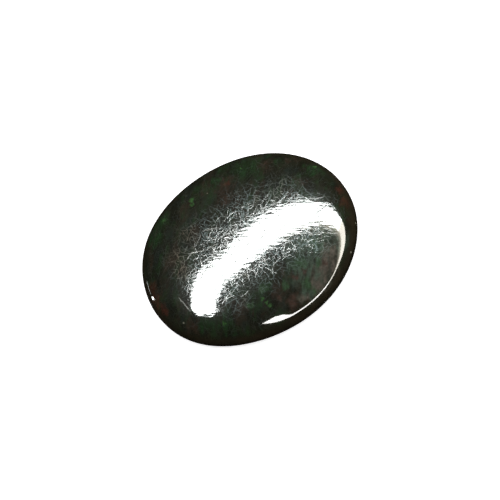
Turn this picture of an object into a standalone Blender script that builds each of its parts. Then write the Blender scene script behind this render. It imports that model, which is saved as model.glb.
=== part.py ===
"""An oval cabochon of black opal: one polished stone with a low dome, a thin girdle and a flat bevelled back.

Metres, +Z up. The back lies on Z = 0 and the stone's length runs along X.
The origin is at the middle of the back.
"""

import math

import bmesh
import bpy

MM = 0.001

# The girdle's oval and the heights, as a caliper would read them
LENGTH = 12.0 * MM
WIDTH = 10.0 * MM
GIRDLE_TOP = 0.9 * MM
DOME_RISE = 1.6 * MM

# The dome's curve is share ** DOME_ACROSS + rise ** DOME_UP = 1, with both from 0 to 1. Two and two would
# make it an ellipse. More than 2 across flattens its top, and less than 2 up lets its shoulder lean inwards
DOME_ACROSS = 2.45
DOME_UP = 1.68

# The back's bevel, which lets the stone drop into a setting. A share is of the girdle's radius
BACK_SHARE = 0.90
GIRDLE_FOOT = 0.62 * MM
CORNER_RADIUS = 0.30 * MM
BACK_EDGE_ROUNDING = 0.05 * MM

# Waves that hand grinding left round the oval: how many crests, their height as a share of the radius,
# and the angle of one crest. Four crests leave it a touch square, five make it lopsided
GRINDING_WAVES = (
    (4, 0.0055, math.radians(39.6)),
    (5, 0.0030, math.radians(-2.5)),
)

STEPS_ROUND = 96
STEPS_UP_DOME = 22
STEPS_ROUND_CORNER = 3

# Points of the spun preform that are closer than this are one, as along its seam and at the apex
SEAM_GAP = 2e-5

# Colour and polish of the stone
BODY_COLOUR = (0.012, 0.015, 0.010, 1.0)
POLISH_ROUGHNESS = 0.12
OPAL_IOR = 1.45


def clear_scene():
    for thing in list(bpy.data.objects):
        bpy.data.objects.remove(thing)


def corner_points():
    """The arc from the bevel, which rises at 45 degrees, to the upright girdle. Share 1 is the full radius."""
    radius_share = CORNER_RADIUS / (WIDTH / 2)
    points = []
    for step in range(STEPS_ROUND_CORNER + 1):
        turn = math.radians(45) * (1 - step / STEPS_ROUND_CORNER)
        share = 1.0 - radius_share * (1.0 - math.cos(turn))
        height = GIRDLE_FOOT - CORNER_RADIUS * math.sin(turn)
        points.append((share, height))
    return points


def dome_points():
    """The dome's curve from the girdle to the apex, with points closer together where it turns fastest."""
    points = []
    for step in range(STEPS_UP_DOME + 1):
        turn = math.radians(90) * step / STEPS_UP_DOME
        share = math.cos(turn) ** (2.0 / DOME_ACROSS)
        if step == STEPS_UP_DOME:
            share = 0.0
        points.append((share, GIRDLE_TOP + DOME_RISE * math.sin(turn) ** (2.0 / DOME_UP)))
    return points


def spin_preform():
    """A round stone of radius 1, turned from its profile. Its open back is then filled with one flat face."""
    mesh = bmesh.new()
    profile = [(BACK_SHARE, 0.0)] + corner_points() + dome_points()
    points = [mesh.verts.new((share, 0.0, height)) for share, height in profile]
    edges = [mesh.edges.new(pair) for pair in zip(points, points[1:])]
    bmesh.ops.spin(
        mesh,
        geom=points + edges,
        cent=(0.0, 0.0, 0.0),
        axis=(0.0, 0.0, 1.0),
        angle=math.radians(360),
        steps=STEPS_ROUND,
        use_merge=True,
        use_duplicate=False,
    )
    bmesh.ops.remove_doubles(mesh, verts=mesh.verts, dist=SEAM_GAP)
    back_rim = [edge for edge in mesh.edges if edge.is_boundary]
    bmesh.ops.edgeloop_fill(mesh, edges=back_rim)
    bmesh.ops.recalc_face_normals(mesh, faces=mesh.faces)
    return mesh


def grind_to_oval(mesh):
    """Takes the round stone to its oval. The waves fade towards the apex, where the dome is even."""
    for point in mesh.verts:
        angle = math.atan2(point.co.y, point.co.x)
        share = math.hypot(point.co.x, point.co.y)
        wave = sum(
            height * math.cos(crests * (angle - crest))
            for crests, height, crest in GRINDING_WAVES
        )
        swell = 1.0 + wave * share**2
        point.co.x *= swell
        point.co.y *= swell


def bring_to_size(mesh):
    """Scales the oval to its caliper length and width, and centres it over the origin."""
    for axis, wanted in ((0, LENGTH), (1, WIDTH)):
        low = min(point.co[axis] for point in mesh.verts)
        high = max(point.co[axis] for point in mesh.verts)
        for point in mesh.verts:
            point.co[axis] = (point.co[axis] - (low + high) / 2) * wanted / (high - low)


def polished_opal():
    material = bpy.data.materials.new("polished_black_opal")
    material.use_nodes = True
    shader = material.node_tree.nodes["Principled BSDF"]
    shader.inputs["Base Color"].default_value = BODY_COLOUR
    shader.inputs["Roughness"].default_value = POLISH_ROUGHNESS
    shader.inputs["Metallic"].default_value = 0.0
    shader.inputs["IOR"].default_value = OPAL_IOR
    material.diffuse_color = BODY_COLOUR
    return material


def make_cabochon():
    preform = spin_preform()
    grind_to_oval(preform)
    bring_to_size(preform)
    data = bpy.data.meshes.new("opal_cabochon")
    preform.to_mesh(data)
    preform.free()
    data.materials.append(polished_opal())
    data.shade_smooth()
    data.set_sharp_from_angle(angle=math.radians(30))
    stone = bpy.data.objects.new("opal_cabochon", data)
    bpy.context.scene.collection.objects.link(stone)
    rounding = stone.modifiers.new("back_edge_rounding", "BEVEL")
    rounding.limit_method = "ANGLE"
    rounding.angle_limit = math.radians(30)
    rounding.width = BACK_EDGE_ROUNDING
    rounding.segments = 2
    return stone


clear_scene()
make_cabochon()
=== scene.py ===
# Looks of an oval black opal cabochon: its fine mesh, its polish and colours, the lamps, floor and camera

import math

import bpy
from mathutils import Matrix, Vector


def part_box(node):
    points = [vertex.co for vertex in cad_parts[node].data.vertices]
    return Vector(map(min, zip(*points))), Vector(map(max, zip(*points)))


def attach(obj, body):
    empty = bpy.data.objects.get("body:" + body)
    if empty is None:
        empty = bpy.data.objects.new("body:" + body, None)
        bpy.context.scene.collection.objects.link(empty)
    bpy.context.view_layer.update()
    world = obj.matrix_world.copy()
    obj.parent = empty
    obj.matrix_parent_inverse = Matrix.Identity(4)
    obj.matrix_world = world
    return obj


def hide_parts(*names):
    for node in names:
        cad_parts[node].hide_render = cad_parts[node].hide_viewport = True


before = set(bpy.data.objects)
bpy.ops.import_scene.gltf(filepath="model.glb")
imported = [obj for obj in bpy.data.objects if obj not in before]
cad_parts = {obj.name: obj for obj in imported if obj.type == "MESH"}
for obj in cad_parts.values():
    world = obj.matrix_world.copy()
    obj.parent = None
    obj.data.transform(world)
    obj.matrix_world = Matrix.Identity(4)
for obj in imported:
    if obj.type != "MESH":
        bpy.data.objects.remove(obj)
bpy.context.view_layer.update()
mm = 0.001


# Node trees: a wire is one socket, and maths on wires adds Math nodes

class Wire:
    def __init__(self, socket):
        self.socket = socket

    def maths(self, operation, first, *others):
        given = dict(enumerate((first, *others)))
        return Net(self.socket.id_data).node("ShaderNodeMath", {"operation": operation}, given)

    def __add__(self, other):
        return self.maths("ADD", self, other)

    def __radd__(self, other):
        return self.maths("ADD", other, self)

    def __sub__(self, other):
        return self.maths("SUBTRACT", self, other)

    def __rsub__(self, other):
        return self.maths("SUBTRACT", other, self)

    def __mul__(self, other):
        return self.maths("MULTIPLY", self, other)

    def __rmul__(self, other):
        return self.maths("MULTIPLY", other, self)

    def __truediv__(self, other):
        return self.maths("DIVIDE", self, other)

    def __rtruediv__(self, other):
        return self.maths("DIVIDE", other, self)

    def __pow__(self, other):
        return self.maths("POWER", self, other)

    def __abs__(self):
        return self.maths("ABSOLUTE", self)

    def __lt__(self, other):
        return self.maths("LESS_THAN", self, other)

    def atMost(self, other):
        return self.maths("MINIMUM", self, other)

    def atLeast(self, other):
        return self.maths("MAXIMUM", self, other)

    def floor(self):
        return self.maths("FLOOR", self)

    def sin(self):
        return self.maths("SINE", self)

    def cos(self):
        return self.maths("COSINE", self)


class Net:
    def __init__(self, tree):
        self.tree = tree

    # Adds any node: its type, its settings, then values or wires for its sockets, by name or number
    def node(self, kind, settings=None, given=None, output=0):
        made = self.tree.nodes.new(kind)
        for name, setting in (settings or {}).items():
            setattr(made, name, setting)
        for name, value in (given or {}).items():
            if isinstance(value, Wire):
                self.tree.links.new(value.socket, made.inputs[name])
            else:
                made.inputs[name].default_value = value
        if isinstance(output, tuple):
            return tuple(Wire(made.outputs[name]) for name in output)
        return Wire(made.outputs[output])

    def apart(self, vector):
        return self.node("ShaderNodeSeparateXYZ", None, {0: vector}, (0, 1, 2))

    def together(self, x, y, z):
        return self.node("ShaderNodeCombineXYZ", None, {0: x, 1: y, 2: z})

    def vector(self, operation, first, second):
        return self.node("ShaderNodeVectorMath", {"operation": operation}, {0: first, 1: second})

    # Runs smoothly from one value to another as the wire goes from low to high
    def ease(self, wire, low, high, start=0.0, end=1.0):
        given = {"Value": wire, "From Min": low, "From Max": high, "To Min": start, "To Max": end}
        return self.node("ShaderNodeMapRange", {"interpolation_type": "SMOOTHSTEP"}, given)

    def noise(self, place, scale, detail=2.0, roughness=0.5):
        given = {"Vector": place, "Scale": scale, "Detail": detail, "Roughness": roughness}
        return self.node("ShaderNodeTexNoise", None, given)

    # Lays one colour over another, as far as the share says
    def paint(self, under, over, share):
        given = {0: share, 6: under, 7: over}
        return self.node("ShaderNodeMix", {"data_type": "RGBA"}, given, 2)


# A value that goes from start to end as the wire goes from 0 to 1
def between(wire, start, end):
    return start + (end - start) * wire


# The stone's fine mesh, grown by Geometry Nodes from the cut's sizes

stoneCut = {
    "Half Width": 5.0 * mm,
    "Length By Width": 1.2,
    "Girdle Top": 0.9 * mm,
    "Girdle Foot": 0.62 * mm,
    "Corner Radius": 0.30 * mm,
    "Back Rounding": 0.06 * mm,
    "Dome Rise": 1.6 * mm,
    "Dome Across": 2.45,  # share ** across + rise ** up = 1
    "Dome Up": 1.68,
    "Four Wave": 0.0055,  # crests that hand grinding left, as a share of the radius
    "Four Crest": math.radians(39.6),
    "Five Wave": 0.0030,
    "Five Crest": math.radians(-2.5),
    "Polish Ripple": 0.004 * mm,  # how far the polish wanders from the true dome
    "Ripple Size": 2.2 * mm,
}
stoneMesh = {"around": 256, "back": 34, "edge": 5, "bevel": 6, "corner": 6, "girdle": 4, "dome": 110}
uvDiscs = {"domeRadius": 0.37, "domeCentre": 0.39, "backRadius": 0.17, "backCentre": 0.82}
bevelTurn = math.radians(45)
quarterTurn = math.radians(90)
weldGap = 0.001 * mm
rippleFoot = 0.1 * mm  # below this the back is flat, with no ripple


def growStone(material):
    tree = bpy.data.node_groups.new("stoneCut", "GeometryNodeTree")
    tree.interface.new_socket(name="Geometry", in_out="OUTPUT", socket_type="NodeSocketGeometry")
    sockets = {
        name: tree.interface.new_socket(name=name, in_out="INPUT", socket_type="NodeSocketFloat")
        for name in stoneCut
    }
    net = Net(tree)
    entry = tree.nodes.new("NodeGroupInput")
    cut = {name: Wire(entry.outputs[name]) for name in stoneCut}
    rows = sum(count for name, count in stoneMesh.items() if name != "around")
    sheet, gridPlace = net.node(
        "GeometryNodeMeshGrid",
        None,
        {"Size X": 1.0, "Size Y": 1.0, "Vertices X": stoneMesh["around"] + 1, "Vertices Y": rows + 1},
        ("Mesh", "UV Map"),
    )
    column, climb, _ = net.apart(gridPlace)
    angle = column * math.tau
    row = climb * rows

    # How far along each stretch of the profile a row is, from the middle of the back to the apex
    part = {}
    first = 0
    for name, count in stoneMesh.items():
        if name != "around":
            part[name] = ((row - first) / count).atLeast(0.0).atMost(1.0)
            first += count
    slope = math.sin(bevelTurn)
    drop = 1 - math.cos(bevelTurn)
    bevelRise = cut["Girdle Foot"] - cut["Corner Radius"] * slope - cut["Back Rounding"] * drop
    flat = cut["Half Width"] - cut["Back Rounding"] * slope - bevelRise - cut["Corner Radius"] * drop
    edgeTurn = part["edge"] * bevelTurn
    cornerTurn = (1 - part["corner"]) * bevelTurn
    domeTurn = part["dome"] * quarterTurn
    domeShare = domeTurn.cos().atLeast(0.0) ** (2 / cut["Dome Across"])
    domeLift = domeTurn.sin().atLeast(0.0) ** (2 / cut["Dome Up"])
    reach = (
        flat * part["back"]
        + cut["Back Rounding"] * edgeTurn.sin()
        + bevelRise * part["bevel"]
        + cut["Corner Radius"] * (cornerTurn.cos() - math.cos(bevelTurn))
        - cut["Half Width"] * (1 - domeShare)
    )
    height = (
        cut["Back Rounding"] * (1 - edgeTurn.cos())
        + bevelRise * part["bevel"]
        + cut["Corner Radius"] * (slope - cornerTurn.sin())
        + (cut["Girdle Top"] - cut["Girdle Foot"]) * part["girdle"]
        + cut["Dome Rise"] * domeLift
    )

    # The oval, with its grinding waves, which fade towards the apex
    share = reach / cut["Half Width"]
    wave = cut["Four Wave"] * ((angle - cut["Four Crest"]) * 4).cos()
    wave += cut["Five Wave"] * ((angle - cut["Five Crest"]) * 5).cos()
    radius = reach * (1 + wave * share * share)
    place = net.together(radius * angle.cos() * cut["Length By Width"], radius * angle.sin(), height)

    # The bake's map: the dome and sides in one disc, the back in a smaller one
    onBack = net.node("GeometryNodeFieldOnDomain", {"domain": "FACE"}, {0: row}) < stoneMesh["back"]
    sideRadius = (1 - climb) * rows / (rows - stoneMesh["back"]) * uvDiscs["domeRadius"]
    backRadius = row / stoneMesh["back"] * uvDiscs["backRadius"]
    mapRadius = sideRadius + (backRadius - sideRadius) * onBack
    mapCentre = uvDiscs["domeCentre"] + (uvDiscs["backCentre"] - uvDiscs["domeCentre"]) * onBack
    mapPlace = net.together(mapCentre + mapRadius * angle.cos(), mapCentre + mapRadius * angle.sin(), 0.0)
    mapped = net.node(
        "GeometryNodeStoreNamedAttribute",
        {"data_type": "FLOAT2", "domain": "CORNER"},
        {"Geometry": sheet, "Name": "OFBake", "Value": mapPlace},
    )
    shaped = net.node("GeometryNodeSetPosition", None, {"Geometry": mapped, "Position": place})
    closed = net.node("GeometryNodeMergeByDistance", None, {"Geometry": shaped, "Distance": weldGap})

    # The ripple of hand polishing, which the lapped back doesn't have
    where = net.node("GeometryNodeInputPosition")
    inRipples = net.vector("DIVIDE", where, net.together(*[cut["Ripple Size"]] * 3))
    ripple = net.noise(inRipples, 1.0, 1.0) - 0.5
    _, _, up = net.apart(where)
    ripple = ripple * cut["Polish Ripple"] * 2 * net.ease(up, rippleFoot, cut["Girdle Top"])
    outwards = net.node("GeometryNodeInputNormal")
    shift = net.node("ShaderNodeVectorMath", {"operation": "SCALE"}, {0: outwards, "Scale": ripple})
    polished = net.node("GeometryNodeSetPosition", None, {"Geometry": closed, "Offset": shift})
    smooth = net.node("GeometryNodeSetShadeSmooth", None, {0: polished})
    real = net.node("GeometryNodeRealizeInstances", None, {0: smooth})
    coated = net.node("GeometryNodeSetMaterial", None, {"Geometry": real, "Material": material})
    leave = tree.nodes.new("NodeGroupOutput")
    tree.links.new(coated.socket, leave.inputs[0])

    stone = bpy.data.objects.new("polished_cabochon", bpy.data.meshes.new("polished_cabochon"))
    bpy.context.scene.collection.objects.link(stone)
    grower = stone.modifiers.new("stoneCut", "NODES")
    grower.node_group = tree
    for name, size in stoneCut.items():
        grower[sockets[name].identifier] = size
    view = bpy.context.evaluated_depsgraph_get()
    mesh = bpy.data.meshes.new_from_object(
        stone.evaluated_get(view), preserve_all_data_layers=True, depsgraph=view
    )
    stone.modifiers.clear()
    stone.data = mesh
    fitToCad(mesh, "opal_cabochon")
    return stone


# Brings the mesh to the box of the CAD node that it stands for
def fitToCad(mesh, node):
    wanted = [Vector(corner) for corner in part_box(node)]
    points = [point.co for point in mesh.vertices]
    low = Vector([min(point[axis] for point in points) for axis in range(3)])
    high = Vector([max(point[axis] for point in points) for axis in range(3)])
    stretch = [(wanted[1][axis] - wanted[0][axis]) / (high[axis] - low[axis]) for axis in range(3)]
    mesh.transform(
        Matrix.Translation(wanted[0]) @ Matrix.Diagonal((*stretch, 1.0)) @ Matrix.Translation(-low)
    )


# The opal: a nearly black body, soft green and red-brown patches, bright flecks, fine scratches, and
# painted haze and glints near the highlight

# Patches and scratches are placed in mm from the middle of the stone, and heights are above its back

bodyColours = {
    "potch": (0.0180, 0.0140, 0.0082, 1.0),
    "dark": (0.0080, 0.0082, 0.0048, 1.0),
    "olive": (0.0160, 0.0165, 0.0098, 1.0),
    "teal": (0.0125, 0.0190, 0.0155, 1.0),
    "brown": (0.0300, 0.0190, 0.0125, 1.0),
    "green": (0.0125, 0.0290, 0.0105, 1.0),
    "red": (0.0560, 0.0180, 0.0110, 1.0),
    # The next two are painted haze: the pale sheen of the highlight's haze inside its loop, over green and
    # red fire
    "paintedHazeOverGreen": (0.0560, 0.0820, 0.0580, 1.0),
    "paintedHazeOverRed": (0.1050, 0.0880, 0.0700, 1.0),
    "leaf": (0.0300, 0.0600, 0.0270, 1.0),
    "rust": (0.0500, 0.0300, 0.0220, 1.0),
    "spark": (0.0330, 0.0850, 0.0240, 1.0),
    # These four are scratch and pit colours, made pale by painted glint
    "coolScuffGlint": (0.2200, 0.2800, 0.2700, 1.0),
    "warmScuffGlint": (0.2800, 0.2500, 0.1900, 1.0),
    "scratchGlint": (0.5500, 0.5600, 0.5200, 1.0),
    "pitGlint": (0.1500, 0.1450, 0.1100, 1.0),
}
greenPatches = (  # x, y and radius in mm
    (1.80, 3.65, 0.75),
    (0.09, 3.87, 0.34),
    (-4.12, 2.70, 0.45),
    (-3.32, 3.44, 0.45),
    (-3.66, -2.96, 0.50),
    (-2.82, -3.48, 0.40),
    (4.97, 1.92, 0.45),
    (2.11, -2.60, 0.40),
    (2.02, -4.00, 0.30),
    (3.30, -2.40, 0.30),
    (0.10, -2.90, 0.30),
    (-1.00, -3.70, 0.35),
)
brownPatches = (
    (0.63, 3.34, 0.45),
    (0.22, 2.60, 0.50),
    (-0.61, 3.59, 0.40),
    (2.79, 3.35, 0.35),
    (4.27, 3.10, 0.25),
    (4.00, 1.47, 0.30),
    (-3.69, 0.63, 0.55),
    (-4.50, -2.66, 0.40),
    (1.01, -4.30, 0.45),
    (0.50, -3.50, 0.35),
    (1.20, -2.90, 0.30),
    (-1.60, -3.30, 0.35),
)
redPatches = (
    (-5.51, 0.35, 0.32),
    (-5.53, -0.20, 0.38),
    (-5.53, -0.72, 0.32),
    (-5.42, -1.20, 0.22),
    (5.84, -0.56, 0.34),
    (5.79, 0.19, 0.24),
    (0.63, 3.34, 0.14),
)
# Painted haze over green and red fire, laid inside the highlight's loop, where its haze falls
paintedHazeOverGreenPatches = (
    (2.87, -2.20, 0.85),
    (2.30, -3.29, 0.85),
    (3.90, -2.30, 0.80),
    (1.90, -4.05, 0.55),
)
paintedHazeOverRedPatches = (
    (2.55, -4.05, 0.40),
    (3.30, -3.29, 0.50),
    (2.90, -3.70, 0.38),
    (3.80, -2.80, 0.35),
    (1.60, -4.35, 0.25),
)
leafPatches = (  # small patches over the painted haze, inside the highlight's loop
    (2.24, -2.72, 0.24),
    (3.09, -2.94, 0.18),
    (2.04, -3.72, 0.22),
    (2.22, -4.21, 0.14),
    (3.33, -1.95, 0.22),
    (0.95, -3.35, 0.18),
    (-0.10, -3.00, 0.18),
    (-1.15, -3.30, 0.18),
)
rustPatches = (
    (2.14, -3.10, 0.14),
    (1.60, -3.20, 0.16),
    (3.30, -3.25, 0.13),
    (0.80, -4.28, 0.24),
    (1.05, -4.10, 0.20),
    (0.40, -3.85, 0.12),
)
# Laid along the highlight's band, where the scuffs get their painted glint
scuffGlintPatches = (
    (-1.90, -0.90, 1.80),
    (-0.90, 0.20, 1.75),
    (0.90, 0.50, 1.75),
    (2.50, 0.20, 1.60),
    (3.90, -0.70, 1.10),
    (3.30, -1.50, 1.10),
    (1.90, -1.30, 1.20),
    (0.20, -1.60, 1.25),
    (-1.60, -2.00, 1.10),
)
warmPatches = ((-3.50, 1.00, 0.70), (-2.50, 1.80, 0.60), (-3.55, 0.10, 0.50))
sparks = (
    (-1.48, 3.53, 0.14),
    (-1.57, 3.24, 0.10),
    (-3.32, 3.44, 0.11),
    (-0.24, -3.88, 0.09),
    (-0.33, -3.65, 0.08),
    (-0.41, -3.42, 0.07),
    (-2.82, -3.48, 0.07),
    (5.07, 2.06, 0.07),
    (1.60, 3.85, 0.07),
)
# Pale specks at small pits: real pits with painted glints
pitGlints = (  # x, y, z and radius
    (-4.75, -2.26, 1.57, 0.052),
    (-0.56, 3.40, 2.09, 0.030),
    (4.71, -3.06, 1.04, 0.050),
    (5.62, -1.71, 0.96, 0.045),
)
hairlines = {  # grooves in the bump, in mm apart from the counts and shares
    "start": 0.3,
    "directions": 5,
    "cellLength": 1.10,  # the room that one scratch has
    "cellGap": 0.66,
    "halfWidth": 0.015,
    "halfLength": 0.48,
    "fan": 0.8,  # how far a scratch may lean from its layer's direction
    "bend": 0.9,
    "most": 0.0042,  # how deep the deepest is
    "faint": 0.15,  # how deep the faintest is, as a share of the deepest
}
tangle = {  # finer grooves between them
    "start": 40.7,
    "directions": 3,
    "cellLength": 0.62,
    "cellGap": 0.33,
    "halfWidth": 0.012,
    "halfLength": 0.30,
    "fan": 0.9,
    "bend": 1.4,
    "most": 0.0024,
    "faint": 0.15,
}
scuffGlintLines = {  # thin pale lines in the colour: scratches, made pale by painted glint
    "start": 90.1,
    "directions": 5,
    "cellLength": 0.52,
    "cellGap": 0.23,
    "halfWidth": 0.018,
    "halfLength": 0.25,
    "fan": 0.9,
    "bend": 2.2,
    "most": 1.5,  # how pale the palest is, as a share
    "faint": 0.08,
}
strays = {  # longer ones, further apart
    "start": 140.3,
    "directions": 2,
    "cellLength": 2.10,
    "cellGap": 0.95,
    "halfWidth": 0.026,
    "halfLength": 0.85,
    "fan": 0.9,
    "bend": 0.25,
    "most": 1.2,
    "faint": 0.20,
}
# Long scratches near the highlight, painted pale: real scratches with a painted glint
longScratchGlints = {
    "halfWidth": 0.032,
    "fadeFrom": 0.6,  # where a line starts to fade and where it ends, as shares of half its length
    "fadeTo": 1.1,
    "lines": (  # x and y of each end, and how pale
        (-3.04, 0.53, -2.71, 0.64, 0.9),
        (-2.84, 0.75, -2.00, 0.42, 0.8),
        (-2.00, 0.42, -1.16, 0.39, 0.6),
        (-2.37, 0.16, -2.48, -0.33, 1.0),
        (-2.17, 1.01, -1.76, 1.37, 0.4),
        (-1.70, 1.50, -0.70, 1.14, 0.5),
        (-1.67, 1.15, -0.99, 0.51, 0.5),
        (3.26, -1.60, 3.45, -1.51, 0.8),
        (3.45, -1.51, 3.80, -1.70, 0.6),
        (4.09, -1.38, 4.44, -1.85, 1.0),
        (0.62, -1.46, 0.62, -2.00, 0.7),
        (-4.36, -1.00, -4.12, -1.99, 0.6),
    ),
}
scratchGrid = {
    "slide": 7.0,  # how far chance slides a row of cells
    "rowSeed": 37.13,
    "columnSeed": 1.37,
    "layerShift": 13.7,
    "nudge": 0.01,  # how far a scratch shifts the next layer, as a share of its own depth
}
ridges = {"turn": math.radians(-28), "size": (0.55, 0.15, 0.60), "depth": 0.0055}
lapping = {"turn": math.radians(24), "size": (2.20, 0.07, 1.0), "depth": 0.0022, "roughness": 0.24}
polish = {"roughness": 0.05, "haze": 0.05, "hazeRoughness": 0.36, "ior": 1.45}
streaks = {"turn": math.radians(58), "size": (1.5, 0.75, 1.0)}  # the opal's grain, across the stone
stirring = {"scale": 2.4, "detail": 3.0, "far": 1.5, "near": 0.7}  # makes the patches' edges ragged
ruffling = {"scale": 7.0, "detail": 2.0, "sparks": 0.35, "scratches": 0.16}
swirling = {"scale": 0.55, "detail": 1.0, "far": 1.0}  # lays the scuffs in tufts
fields = {  # noises that start to show at low and are full at high
    "olive": {"scale": 1.0, "detail": 4.0, "roughness": 0.6, "low": 0.36, "high": 0.64},
    "green": {"shift": (7.0, 3.0, 5.0), "scale": 1.3, "detail": 4.0, "low": 0.48, "high": 0.66},
    "brown": {"shift": (2.0, 9.0, 1.0), "scale": 1.1, "detail": 4.0, "low": 0.50, "high": 0.66},
    "teal": {"shift": (4.0, 1.0, 8.0), "scale": 1.1, "detail": 4.0, "low": 0.48, "high": 0.68},
    "vein": {"stretch": (2.2, 3.6, 2.0), "scale": 1.0, "detail": 3.0, "low": 0.36, "high": 0.62},
    "grit": {"scale": 7.0, "detail": 3.0, "roughness": 0.6, "low": 0.35, "high": 0.65},
    "wear": {"scale": 0.9, "detail": 1.0, "low": 0.30, "high": 0.60, "least": 0.55},
}
veined = {  # a colour's share where there is no vein, and in the middle of one
    "green": (0.45, 1.0),
    "brown": (1.0, 0.5),
    "red": (1.0, 0.5),
    "paintedHazeOverGreen": (0.15, 0.90),
    "paintedHazeOverRed": (0.85, 0.35),
}
shares = {  # how strongly each colour is laid on
    "greenField": 0.7,
    "brownField": 0.6,
    "tealField": 0.6,
    "brown": 0.9,
    "red": 0.8,
    "leaf": 0.85,
    "rust": 0.85,
    "grit": 0.35,
    "sparkInGrit": 0.7,
    "potchMottle": 0.6,
    "scuffGlintEverywhere": 0.04,
    "scuffGlintWarm": 0.22,
    "scuffGlintNearBand": 0.96,
    "grooveLeast": 0.10,
}
heights = {  # in mm, between which each comes in, and the lapping goes out
    "dome": (1.10, 1.45),
    "scuffedAndGlinting": (1.25, 1.60),
    "rubbed": (1.45, 2.05),
    "lapped": (0.30, 0.60),
}
spotEdge = {"from": 0.2, "to": 1.6}  # where a spot's edge starts and ends, as shares of its radius


# A layer of scratches that run one way, one in each cell of a grid. Chance slides each row of cells
def scratchLayer(net, x, y, turn, shift, kind):
    along = (x * math.cos(turn) + y * math.sin(turn)) / kind["cellLength"] + shift
    across = (y * math.cos(turn) - x * math.sin(turn)) / kind["cellGap"] + shift
    row = across.floor()
    slide = net.node("ShaderNodeTexWhiteNoise", {"noise_dimensions": "1D"}, {"W": row}, "Value")
    along = along + scratchGrid["slide"] * slide
    column = along.floor()
    seed = row * scratchGrid["rowSeed"] + column * scratchGrid["columnSeed"]
    chance = net.node("ShaderNodeTexWhiteNoise", {"noise_dimensions": "1D"}, {"W": seed}, "Color")
    lean, curve, force = net.node("ShaderNodeSeparateColor", None, {0: chance}, (0, 1, 2))
    along = (along - column - 0.5) * kind["cellLength"]
    across = (across - row - 0.5) * kind["cellGap"]
    across = across + along * ((lean - 0.5) * kind["fan"] + along * (curve - 0.5) * kind["bend"])
    line = (1.0 - abs(across) / kind["halfWidth"]).atLeast(0.0)
    end = net.ease(abs(along), 0.5 * kind["halfLength"], kind["halfLength"], 1.0, 0.0)
    faintest = kind["most"] * kind["faint"]
    return line * end * (faintest + (kind["most"] - faintest) * force * force)


# All the scratches of some kinds. Each nudges the next, so that the renderer works them out one at a time
def scratchField(net, x, y, kinds):
    total = None
    for kind in kinds:
        for layer in range(kind["directions"]):
            turn = math.pi * layer / kind["directions"]
            shift = kind["start"] + scratchGrid["layerShift"] * layer
            one = scratchLayer(net, x, y, turn, shift, kind)
            total = one if total is None else total + one
            nudge = one * scratchGrid["nudge"]
            x, y = x + nudge, y + nudge
    return total


# The few long scratches that stand out, each a straight line that fades at its ends, painted pale as a
# glint
def longScratchGlintField(net, x, y):
    total = None
    for startX, startY, endX, endY, pale in longScratchGlints["lines"]:
        turn = math.atan2(endY - startY, endX - startX)
        half = math.hypot(endX - startX, endY - startY) / 2
        right, up = x - (startX + endX) / 2, y - (startY + endY) / 2
        along = abs(right * math.cos(turn) + up * math.sin(turn))
        across = abs(up * math.cos(turn) - right * math.sin(turn))
        line = (1.0 - across / longScratchGlints["halfWidth"]).atLeast(0.0)
        fadeFrom, fadeTo = longScratchGlints["fadeFrom"] * half, longScratchGlints["fadeTo"] * half
        one = line * net.ease(along, fadeFrom, fadeTo, pale, 0.0)
        total = one if total is None else total + one
        nudge = one * scratchGrid["nudge"]
        x, y = x + nudge, y + nudge
    return total.atMost(1.0)


def softSpots(net, place, spots):
    total = None
    for *centre, radius in spots:
        centre = (*centre, 0.0)[:3]
        away = net.node("ShaderNodeVectorMath", {"operation": "DISTANCE"}, {0: place, 1: centre}, 1)
        spot = net.ease(away, spotEdge["from"] * radius, spotEdge["to"] * radius, 1.0, 0.0)
        total = spot if total is None else total.atLeast(spot)
    return total


def noiseField(net, place, field):
    if "shift" in field:
        place = net.vector("ADD", place, field["shift"])
    if "stretch" in field:
        place = net.vector("MULTIPLY", place, field["stretch"])
    noise = net.noise(place, field["scale"], field["detail"], field.get("roughness", 0.5))
    return net.ease(noise, field["low"], field["high"], field.get("least", 0.0))


# A noise that goes from -0.5 to 0.5 on each axis
def shiftNoise(net, place, kind):
    given = {"Vector": place, "Scale": kind["scale"], "Detail": kind["detail"]}
    noise = net.node("ShaderNodeTexNoise", None, given, 1)
    return net.vector("SUBTRACT", noise, (0.5, 0.5, 0.5))


# A place that such a noise shifts sideways
def shifted(net, place, shift, far):
    return net.vector("ADD", place, net.vector("MULTIPLY", shift, (far, far, 0.0)))


# A place in a pattern that is turned about the stone's axis and stretched
def turned(net, place, kind):
    given = {"Vector": place, "Rotation": (0.0, 0.0, kind["turn"]), "Scale": kind["size"]}
    return net.node("ShaderNodeMapping", {"vector_type": "TEXTURE"}, given)


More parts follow.
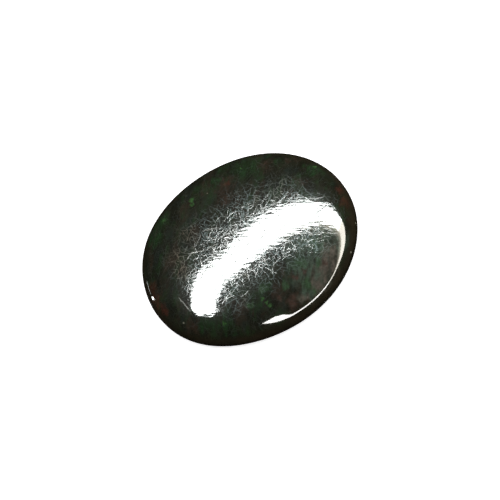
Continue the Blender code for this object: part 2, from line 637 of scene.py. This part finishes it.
def opalMaterial():
    material = bpy.data.materials.new("polished_black_opal")
    material.use_nodes = True
    net = Net(material.node_tree)
    shader = material.node_tree.nodes["Principled BSDF"]
    objectPlace = net.node("ShaderNodeTexCoord", None, None, "Object")
    place = net.node("ShaderNodeMapping", None, {"Vector": objectPlace, "Scale": (1 / mm,) * 3})
    x, y, z = net.apart(place)
    flatPlace = net.together(x, y, 0.0)

    # The opal's grain runs in streaks across the stone, and its patches have ragged, streaky edges
    grain = turned(net, place, streaks)
    stir = shiftNoise(net, grain, stirring)
    stirred = shifted(net, flatPlace, stir, stirring["far"])
    stirredLess = shifted(net, flatPlace, stir, stirring["near"])
    ruffle = shiftNoise(net, place, ruffling)
    ruffled = shifted(net, flatPlace, ruffle, ruffling["sparks"])
    olive = noiseField(net, grain, fields["olive"])
    greenField = noiseField(net, grain, fields["green"])
    brownField = noiseField(net, grain, fields["brown"])
    tealField = noiseField(net, grain, fields["teal"]) * shares["tealField"]
    vein = noiseField(net, grain, fields["vein"])
    grit = noiseField(net, place, fields["grit"])
    green = softSpots(net, stirred, greenPatches).atLeast(greenField * shares["greenField"])
    brown = softSpots(net, stirred, brownPatches).atLeast(brownField * shares["brownField"])
    red = softSpots(net, stirredLess, redPatches)
    spark = softSpots(net, ruffled, sparks)
    paintedHazeOverGreen = softSpots(net, stirred, paintedHazeOverGreenPatches)
    paintedHazeOverRed = softSpots(net, stirred, paintedHazeOverRedPatches)
    # Where the scuffs are painted with glint, along the highlight's band
    scuffedAndGlinting = softSpots(net, stirredLess, scuffGlintPatches)
    leaf = softSpots(net, stirredLess, leafPatches)
    rust = softSpots(net, stirredLess, rustPatches)
    inDome = net.ease(z, *heights["dome"])
    colour = net.paint(bodyColours["dark"], bodyColours["olive"], olive)
    colour = net.paint(colour, bodyColours["teal"], tealField)
    brown = brown * between(vein, *veined["brown"]) * shares["brown"]
    colour = net.paint(colour, bodyColours["brown"], brown)
    colour = net.paint(colour, bodyColours["green"], green * between(vein, *veined["green"]))
    # Painted haze: a pale green-grey and warm sheen inside the highlight's loop, over the green and red
    # fire
    colour = net.paint(colour, bodyColours["paintedHazeOverGreen"], paintedHazeOverGreen * between(vein, *veined["paintedHazeOverGreen"]))
    colour = net.paint(colour, bodyColours["paintedHazeOverRed"], paintedHazeOverRed * between(vein, *veined["paintedHazeOverRed"]))
    colour = net.paint(colour, bodyColours["red"], red * between(vein, *veined["red"]) * shares["red"])
    colour = net.paint(colour, bodyColours["leaf"], leaf * shares["leaf"])
    colour = net.paint(colour, bodyColours["rust"], rust * shares["rust"])
    colour = net.paint(colour, bodyColours["dark"], grit * shares["grit"])
    colour = net.paint(colour, bodyColours["spark"], spark * between(grit, 1.0, shares["sparkInGrit"]))
    potch = net.paint(bodyColours["potch"], bodyColours["dark"], olive * shares["potchMottle"])
    colour = net.paint(potch, colour, inDome)

    # Grooves in the bump lie where a hand has rubbed the dome's top, and leave its shoulder clean
    rubbed = net.ease(z, *heights["rubbed"])
    worn = noiseField(net, place, fields["wear"]) * rubbed
    worn = worn * between(scuffedAndGlinting, shares["grooveLeast"], 1.0)
    wavy = shifted(net, place, ruffle, ruffling["scratches"])
    wavyX, wavyY, _ = net.apart(wavy)
    grooves = scratchField(net, wavyX, wavyY, (hairlines, tangle))

    # Pale scuffs in the colour lie there too, warmer at the left, and then come long scratches and pits.
    # They are real scratches and pits with painted glints, brightest along the highlight's band
    warm = softSpots(net, stirredLess, warmPatches)
    scuffGlintColour = net.paint(bodyColours["coolScuffGlint"], bodyColours["warmScuffGlint"], warm.atLeast(tealField))
    swirl = shiftNoise(net, place, swirling)
    tufted = shifted(net, wavy, swirl, swirling["far"])
    tuftedX, tuftedY, _ = net.apart(tufted)
    scuffGlint = scratchField(net, tuftedX, tuftedY, (scuffGlintLines, strays)).atMost(1.0)
    reach = shares["scuffGlintEverywhere"] + shares["scuffGlintWarm"] * warm + shares["scuffGlintNearBand"] * scuffedAndGlinting
    colour = net.paint(colour, scuffGlintColour, scuffGlint * reach * net.ease(z, *heights["scuffedAndGlinting"]))
    # Painted glint on the long scratches
    colour = net.paint(colour, bodyColours["scratchGlint"], longScratchGlintField(net, wavyX, wavyY))
    # Painted glints on the pits
    colour = net.paint(colour, bodyColours["pitGlint"], softSpots(net, place, pitGlints))

    # Faint ridges, all one way, which fray the edges of what the dome mirrors
    ridge = net.noise(turned(net, place, ridges), 1.0, 1.0) * ridges["depth"] * rubbed

    # The back and its bevel are lapped and left satin, with fine straight lines
    lapped = net.ease(z, *heights["lapped"], 1.0, 0.0)
    lapLine = net.noise(turned(net, place, lapping), 1.0, 2.0) * lapping["depth"] * lapped
    height = grooves * worn + ridge + lapLine
    bump = net.node("ShaderNodeBump", {"invert": True}, {"Height": height, "Distance": mm, "Strength": 1.0})

    given = {
        "Base Color": colour,
        "Roughness": between(lapped, polish["roughness"], lapping["roughness"]),
        "IOR": polish["ior"],
        "Coat Weight": polish["haze"] * rubbed,
        "Coat Roughness": polish["hazeRoughness"],
        "Coat IOR": polish["ior"],
        "Normal": bump,
    }
    for name, value in given.items():
        if isinstance(value, Wire):
            material.node_tree.links.new(value.socket, shader.inputs[name])
        else:
            shader.inputs[name].default_value = value
    print("opal material made,", len(material.node_tree.nodes), "nodes")
    return material


opal = opalMaterial()
stone = growStone(opal)
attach(stone, "root")
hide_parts("opal_cabochon")
print("stone grown,", len(stone.data.polygons), "faces")


# The camera looks down on the dome, turned as the photograph is

photo = {
    "azimuth": math.radians(12.89),
    "elevation": math.radians(65.82),
    "roll": math.radians(40.48),
    "distance": 145.67 * mm,
    "lens": 200.0,
    "sensor": 36.0,
    "aimHeight": 1.7 * mm,
    "aimRight": 0.280 * mm,
    "aimDown": 0.349 * mm,
}


def cameraAxes():
    turn, climb, roll = photo["azimuth"], photo["elevation"], photo["roll"]
    back = Vector((math.sin(turn) * math.cos(climb), -math.cos(turn) * math.cos(climb), math.sin(climb)))
    level = Vector((math.cos(turn), math.sin(turn), 0.0))
    upright = back.cross(level)
    right = level * math.cos(roll) - upright * math.sin(roll)
    up = level * math.sin(roll) + upright * math.cos(roll)
    return right, up, back


def placeCamera():
    right, up, back = cameraAxes()
    camera = bpy.data.objects.new("camera", bpy.data.cameras.new("camera"))
    camera.data.lens = photo["lens"]
    camera.data.sensor_width = photo["sensor"]
    camera.data.clip_start = 1 * mm
    aim = Vector((0.0, 0.0, photo["aimHeight"])) + right * photo["aimRight"] - up * photo["aimDown"]
    facing = Matrix((right, up, back)).transposed().to_4x4()
    camera.matrix_world = Matrix.Translation(aim + back * photo["distance"]) @ facing
    bpy.context.scene.collection.objects.link(camera)
    bpy.context.scene.camera = camera


placeCamera()
print("camera placed")


# A ring lamp round the camera, in four stretches, and two small windows low on the left. The dome
# mirrors them, and that is the highlight

lamps = {
    "distance": 0.25,  # how far they are from the middle of the stone
    "step": 3.0,  # degrees between the points along a lamp's edge
    "rows": 4,  # faces across a lamp
    "dark": (0.0, 0.0, 0.0, 1.0),
    "coolWhite": (0.96, 1.0, 0.98, 1.0),
    "softWhite": (1.0, 0.985, 0.95, 1.0),
    "cream": (1.0, 0.96, 0.86, 1.0),
    "amber": (1.0, 0.92, 0.76, 1.0),
}
bandLamp = {
    "colour": lamps["coolWhite"],
    "strength": 54.0,
    "stations": (  # angle round the camera's axis, then the lamp's inner and outer angle off that axis
        (49.0, 42.9, 52.8),
        (70.0, 40.5, 52.5),
        (100.0, 38.6, 52.0),
        (115.0, 38.4, 51.8),
        (124.0, 39.0, 51.0),
        (130.0, 39.8, 48.9),
        (138.0, 39.1, 48.3),
        (149.0, 38.8, 50.5),
        (160.0, 37.6, 50.6),
        (176.0, 37.6, 50.4),
        (184.0, 36.2, 50.0),
        (187.5, 37.0, 49.0),
        (190.0, 39.0, 47.0),
    ),
}
tailLamp = {
    "colour": lamps["softWhite"],
    "strength": 35.0,
    "stations": (
        (-101.0, 33.5, 34.5),
        (-92.0, 27.2, 37.6),
        (-80.0, 29.8, 42.8),
        (-68.0, 41.0, 46.0),
        (-55.0, 42.4, 46.4),
        (-40.0, 43.1, 47.4),
        (-22.0, 43.1, 46.3),
    ),
}
arcLamp = {
    "colour": lamps["cream"],
    "strength": 27.0,
    "stations": (
        (-22.0, 43.1, 46.3),
        (-10.0, 43.0, 45.3),
        (2.0, 42.4, 46.0),
        (13.0, 42.2, 49.0),
        (23.0, 42.4, 51.6),
        (40.0, 43.9, 53.0),
        (49.0, 42.9, 52.8),
    ),
}
glowLamp = {
    "colour": lamps["amber"],
    "strength": 13.0,
    "fade": 2.2,  # how fast it fades from its outer edge to its inner one
    "stations": (
        (-14.0, 42.0, 43.2),
        (2.0, 38.5, 42.4),
        (13.0, 36.0, 42.2),
        (23.0, 34.5, 42.4),
        (40.0, 36.5, 43.9),
        (70.0, 34.5, 40.5),
        (100.0, 35.5, 38.6),
        (115.0, 37.4, 38.4),
    ),
}
dotWindow = {
    "colour": lamps["coolWhite"],
    "strength": 45.0,
    "stations": (
        (-175.3, 97.7, 98.0),
        (-173.4, 98.4, 105.3),
        (-173.0, 98.5, 105.4),
        (-171.1, 105.8, 106.1),
    ),
}
lineWindow = {
    "colour": lamps["coolWhite"],
    "strength": 10.0,
    "stations": ((-182.0, 110.6, 112.2), (-175.4, 104.6, 105.9)),
}


# One lamp: a strip of a sphere round the stone, which only the stone's gloss sees
def lampPatch(name, kind):
    right, up, back = cameraAxes()
    steps = lamps["rows"]
    stations = fineStations(kind["stations"])
    points = []
    for clock, inner, outer in stations:
        around = math.radians(clock)
        side = right * math.cos(around) + up * math.sin(around)
        for step in range(steps + 1):
            off = math.radians(inner + (outer - inner) * step / steps)
            points.append((back * math.cos(off) + side * math.sin(off)) * lamps["distance"])
    faces = []
    for station in range(len(stations) - 1):
        for step in range(steps):
            start = station * (steps + 1) + step
            faces.append((start, start + 1, start + steps + 2, start + steps + 1))
    mesh = bpy.data.meshes.new(name)
    mesh.from_pydata(points, [], faces)
    across = mesh.attributes.new("across", "FLOAT", "POINT")
    across.data.foreach_set("value", [step / steps for _ in stations for step in range(steps + 1)])
    lamp = bpy.data.objects.new(name, mesh)
    bpy.context.scene.collection.objects.link(lamp)
    glow = bpy.data.materials.new(name)
    glow.use_nodes = True
    net = Net(glow.node_tree)
    glow.node_tree.nodes.remove(glow.node_tree.nodes["Principled BSDF"])
    reach = net.node("ShaderNodeAttribute", {"attribute_name": "across"}, None, "Fac")
    shine = net.paint(lamps["dark"], kind["colour"], reach ** kind.get("fade", 0.0))
    light = net.node("ShaderNodeEmission", None, {"Color": shine, "Strength": kind["strength"]})
    glow.node_tree.links.new(light.socket, glow.node_tree.nodes["Material Output"].inputs["Surface"])
    mesh.materials.append(glow)
    lamp.visible_camera = False
    lamp.visible_diffuse = False
    lamp.visible_shadow = False


# Adds stations between the named ones, so that a lamp's edges are round
def fineStations(stations):
    fine = []
    for start, end in zip(stations, stations[1:]):
        steps = max(1, round((end[0] - start[0]) / lamps["step"]))
        for step in range(steps):
            share = step / steps
            fine.append(tuple(low + (high - low) * share for low, high in zip(start, end)))
    fine.append(stations[-1])
    return fine


lampPatch("bandLamp", bandLamp)
lampPatch("arcLamp", arcLamp)
lampPatch("tailLamp", tailLamp)
lampPatch("glowLamp", glowLamp)
lampPatch("dotWindow", dotWindow)
lampPatch("lineWindow", lineWindow)
print("lamps placed")


# A pale floor under a white sky, which is brighter on one side. Neither is mirrored in the stone

white = (1.0, 1.0, 1.0, 1.0)
room = {
    "floorRadius": 0.8,
    "floorSides": 96,
    "floorDrop": 0.01 * mm,
    "floorColour": (0.97, 0.97, 0.97, 1.0),
    "floorGlow": 0.60,
}
sky = {
    "strength": 1.25,
    "brightClock": math.radians(65),  # the brighter side, as an angle round the camera's axis
    "lean": 0.9,
}


def layFloor():
    count = room["floorSides"]
    angles = [math.tau * step / count for step in range(count)]
    rim = [(math.cos(angle), math.sin(angle)) for angle in angles]
    rim = [(room["floorRadius"] * x, room["floorRadius"] * y, -room["floorDrop"]) for x, y in rim]
    mesh = bpy.data.meshes.new("floor")
    mesh.from_pydata(rim, [], [tuple(range(count))])
    floor = bpy.data.objects.new("floor", mesh)
    bpy.context.scene.collection.objects.link(floor)
    paint = bpy.data.materials.new("floor")
    paint.use_nodes = True
    shader = paint.node_tree.nodes["Principled BSDF"]
    shader.inputs["Base Color"].default_value = room["floorColour"]
    shader.inputs["Roughness"].default_value = 1.0
    shader.inputs["Specular IOR Level"].default_value = 0.0
    shader.inputs["Emission Color"].default_value = white
    shader.inputs["Emission Strength"].default_value = room["floorGlow"]

    # Seen from beneath, the floor is clear, so that the stone's back can be looked at
    net = Net(paint.node_tree)
    beneath = net.node("ShaderNodeNewGeometry", None, None, "Backfacing")
    clear = net.node("ShaderNodeBsdfTransparent")
    top = Wire(shader.outputs[0])
    either = net.node("ShaderNodeMixShader", None, {0: beneath, 1: top, 2: clear})
    paint.node_tree.links.new(either.socket, paint.node_tree.nodes["Material Output"].inputs["Surface"])
    mesh.materials.append(paint)
    floor.visible_glossy = False
    floor.visible_diffuse = False


def lightSky():
    world = bpy.data.worlds.new("sky")
    world.use_nodes = True
    background = world.node_tree.nodes["Background"]
    background.inputs["Color"].default_value = white
    right, up, _ = cameraAxes()
    bright = right * math.cos(sky["brightClock"]) + up * math.sin(sky["brightClock"])
    bright = tuple(Vector((bright.x, bright.y, 0.0)).normalized())
    net = Net(world.node_tree)
    place = net.node("ShaderNodeTexCoord", None, None, "Generated")
    towards = net.node("ShaderNodeVectorMath", {"operation": "DOT_PRODUCT"}, {0: place, 1: bright}, 1)
    strength = sky["strength"] * (1.0 + sky["lean"] * towards)
    world.node_tree.links.new(strength.socket, background.inputs["Strength"])
    world.cycles_visibility.glossy = False
    bpy.context.scene.world = world


layFloor()
lightSky()
bpy.context.scene.view_settings.view_transform = "Standard"
print("floor and sky placed")
